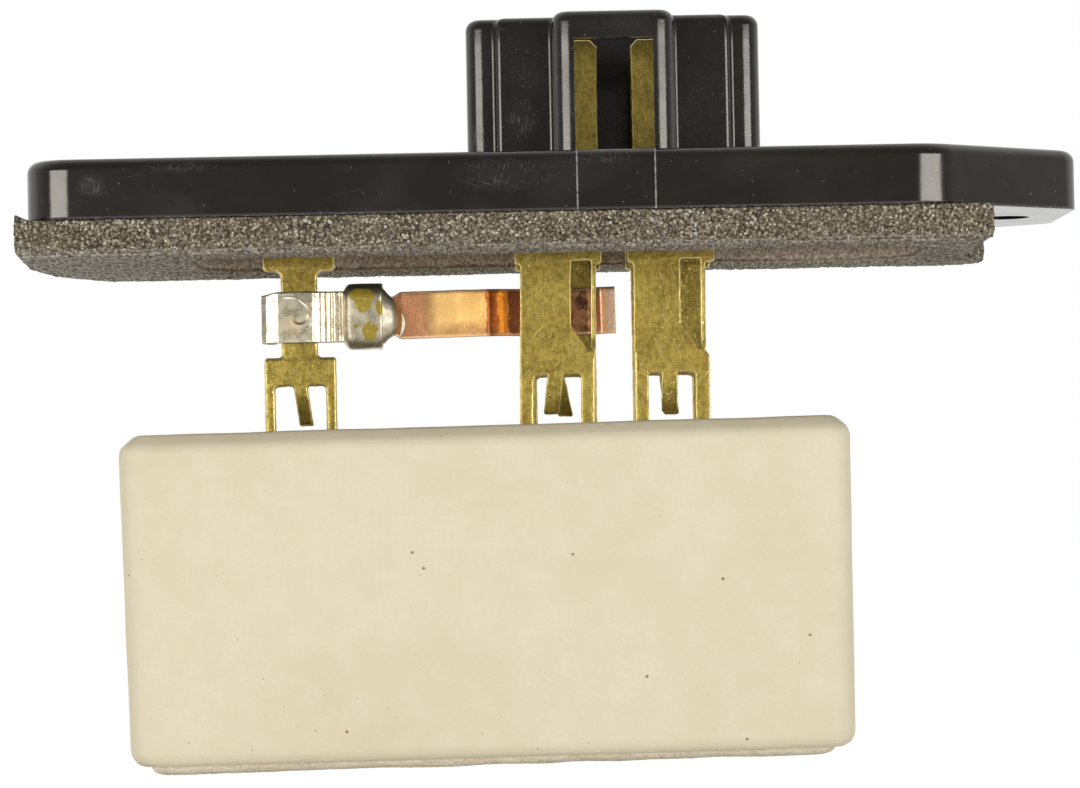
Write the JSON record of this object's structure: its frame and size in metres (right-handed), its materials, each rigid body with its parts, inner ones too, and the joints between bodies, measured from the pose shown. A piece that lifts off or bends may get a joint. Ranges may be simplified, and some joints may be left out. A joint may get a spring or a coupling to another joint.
{
  "type": "blower motor resistor",
  "caption": "Plug-in heater blower resistor: moulded mounting plate with connector and foam gasket above brass forks, a soldered thermal fuse and a cement-filled ceramic block.",
  "frame": {"origin": "middle of the mounting plate's underside, the face that seats on the duct through the foam gasket", "axes": "+X along the plate towards the screw ear, +Y to the side away from the connector's latch window, +Z out of the duct, the way the connector points"},
  "size_m": [0.1053, 0.045, 0.0748],
  "materials": {
    "black_moulding": "glossy black thermoset moulding, lightly scuffed",
    "grey_foam": "grey open-cell foam, cut edges",
    "brass": "stamped brass, dull, with bright sheared edges",
    "tinned_brass": "tin plate over brass, flux stains",
    "solder": "solder, smooth",
    "copper": "bare copper spring strip",
    "cream_ceramic": "unglazed cream ceramic with pinholes",
    "cement": "grainy cement",
    "glass_fibre": "glass-fibre rod",
    "resistance_wire": "drawn resistance wire",
    "cap_steel": "tinned steel cap"
  },
  "bodies": {
    "root": {"mounting_plate": "black_moulding", "foam_gasket": "grey_foam", "front_middle_terminal": "brass", "rear_middle_terminal": "brass", "front_right_terminal": "brass", "rear_right_terminal": "brass", "left_leg": "brass", "fuse_clip": "tinned_brass", "fuse_solder": "solder", "copper_strip": "copper", "ceramic_case": "cream_ceramic", "cement_fill": "cement", "resistor_core_1": "glass_fibre", "resistor_core_2": "glass_fibre", "resistor_core_3": "glass_fibre", "resistor_winding_1": "resistance_wire", "resistor_winding_2": "resistance_wire", "resistor_winding_3": "resistance_wire", "end_cap_1_start": "cap_steel", "end_cap_1_end": "cap_steel", "end_cap_2_start": "cap_steel", "end_cap_2_end": "cap_steel", "end_cap_3_start": "cap_steel", "end_cap_3_end": "cap_steel"}
  },
  "joints": []
}
